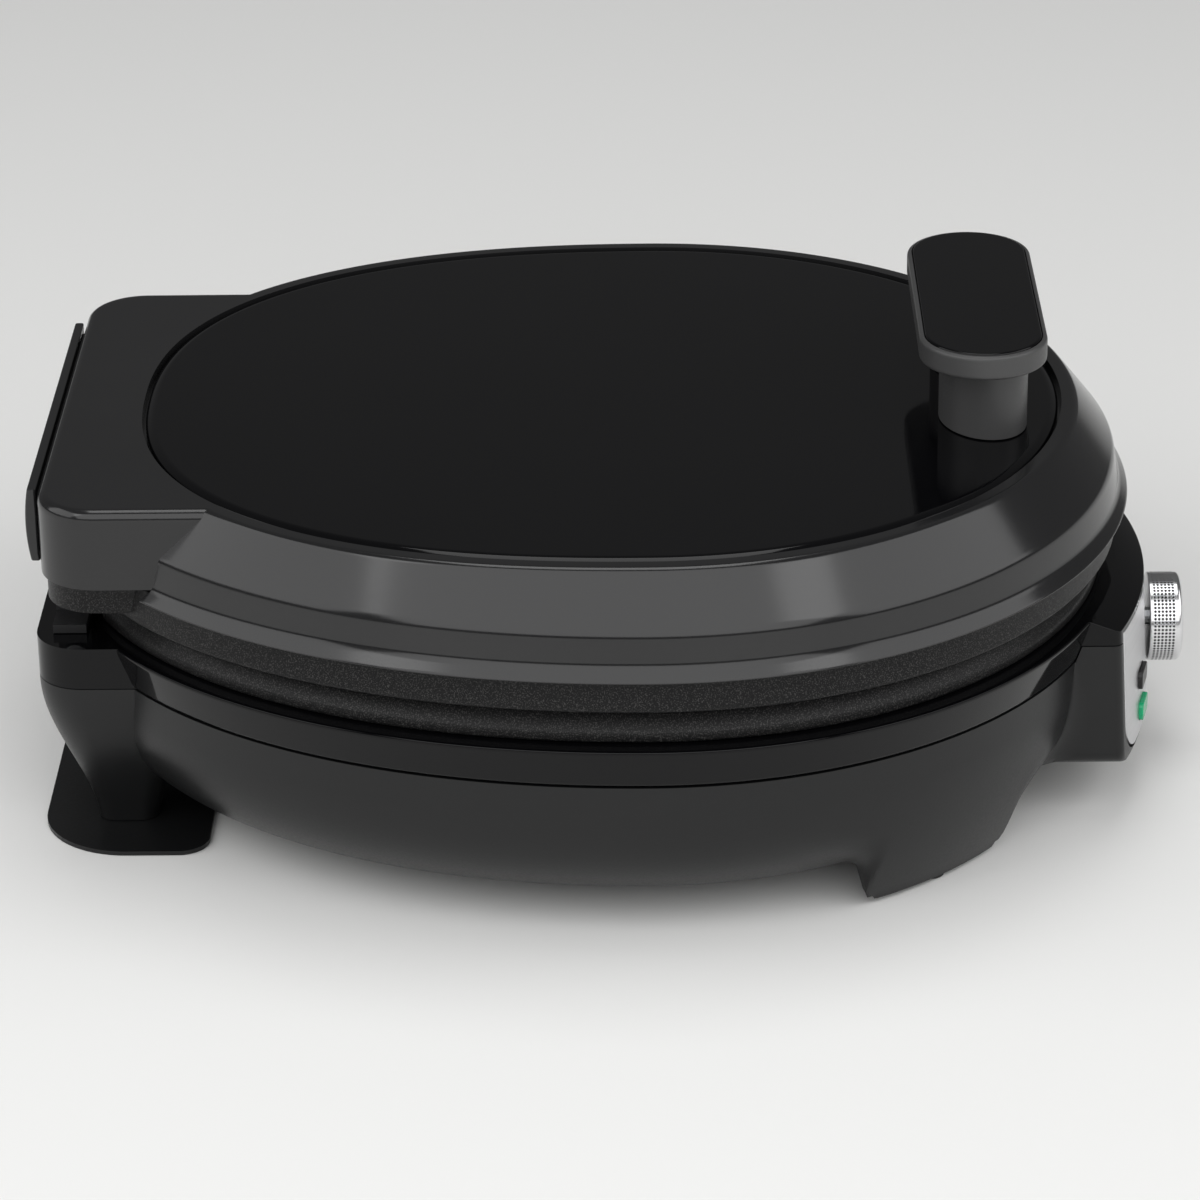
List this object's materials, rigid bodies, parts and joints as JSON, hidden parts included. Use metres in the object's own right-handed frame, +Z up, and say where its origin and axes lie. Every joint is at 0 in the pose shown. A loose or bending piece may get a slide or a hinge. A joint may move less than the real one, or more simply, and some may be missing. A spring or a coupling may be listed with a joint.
{
  "type": "electric pizza maker",
  "caption": "Countertop electric pizza maker: round hinged lid with a bar handle, speckled non-stick plates, curved control panel with a knob, closed.",
  "frame": {"origin": "centre of the footprint's bounding box, on the surface it stands on", "axes": "+Z up; -Y towards the handle, panel and knob at the front; +Y towards the hinge; +X to the right seen from the front"},
  "size_m": [0.3298, 0.393, 0.1679],
  "materials": {
    "satin_black": "satin black heat-resistant plastic",
    "gloss_black": "polished black plastic",
    "matte_black": "fine-textured matte black plastic",
    "soft_grey": "soft-touch dark grey",
    "nonstick": "die-cast, dark non-stick coating with fine pale speckle",
    "brushed_silver": "brushed silver sheet, grain across",
    "chrome": "bright chrome",
    "steel": "plain zinc-plated steel",
    "black_steel": "black-coated steel",
    "element_steel": "dull sheath steel",
    "aluminium": "plain mill finish",
    "thermostat_white": "off-white steatite",
    "dark_lens": "dark tinted clear plastic",
    "green_lens": "green tinted clear plastic",
    "lamp_glass": "clear glass",
    "rubber": "dull black rubber"
  },
  "bodies": {
    "base": {"lower_plate": "nonstick", "lower_heating_element": "element_steel", "lower_element_clamp_front": "steel", "lower_element_clamp_left": "steel", "lower_element_clamp_right": "steel", "lower_heat_shield": "aluminium", "lower_plate_screw_front_left": "steel", "lower_plate_screw_front_right": "steel", "lower_plate_screw_rear_left": "steel", "lower_plate_screw_rear_right": "steel", "base_trim_ring": "gloss_black", "base_lower_shell": "matte_black", "control_panel": "brushed_silver", "thermostat_body": "thermostat_white", "thermostat_bracket": "steel", "power_lens": "dark_lens", "ready_lens": "green_lens", "power_lamp": "lamp_glass", "ready_lamp": "lamp_glass", "lamp_holder": "matte_black", "terminal_block": "thermostat_white", "thermal_fuse": "thermostat_white", "fuse_clip": "steel", "cord_gland": "rubber", "cord_wrap_plate": "matte_black", "front_leg_left": "matte_black", "front_leg_right": "matte_black", "rear_leg_left": "matte_black", "rear_leg_right": "matte_black", "foot_pad_left": "rubber", "foot_pad_right": "rubber", "base_hinge_bracket_left": "black_steel", "base_hinge_bracket_right": "black_steel", "hinge_pin_left": "steel", "hinge_pin_right": "steel"},
    "lid": {"lid_housing": "satin_black", "lid_top_disc": "gloss_black", "lid_rear_cover": "satin_black", "handle_bar": "soft_grey", "handle_inlay": "gloss_black", "handle_post_left": "soft_grey", "handle_post_right": "soft_grey", "handle_screw_left": "steel", "handle_screw_right": "steel", "upper_plate": "nonstick", "upper_heating_element": "element_steel", "upper_element_clamp_front": "steel", "upper_element_clamp_left": "steel", "upper_element_clamp_right": "steel", "upper_heat_shield": "aluminium", "upper_plate_screw_front_left": "steel", "upper_plate_screw_front_right": "steel", "upper_plate_screw_rear_left": "steel", "upper_plate_screw_rear_right": "steel", "lid_hinge_arm_left": "black_steel", "lid_hinge_arm_right": "black_steel"},
    "knob": {"temperature_knob": "chrome", "thermostat_shaft": "steel"}
  },
  "joints": [
    {"name": "lid_hinge", "type": "hinge", "parent": "base", "child": "lid", "pos_m": [0, 0.1831, 0.088], "axis": [-1, 0, 0], "range_deg": [0, 100]},
    {"name": "knob_turn", "type": "hinge", "parent": "base", "child": "knob", "pos_m": [0, -0.1909, 0.0458], "axis": [0, 1, 0], "range_deg": [0, 270]}
  ]
}
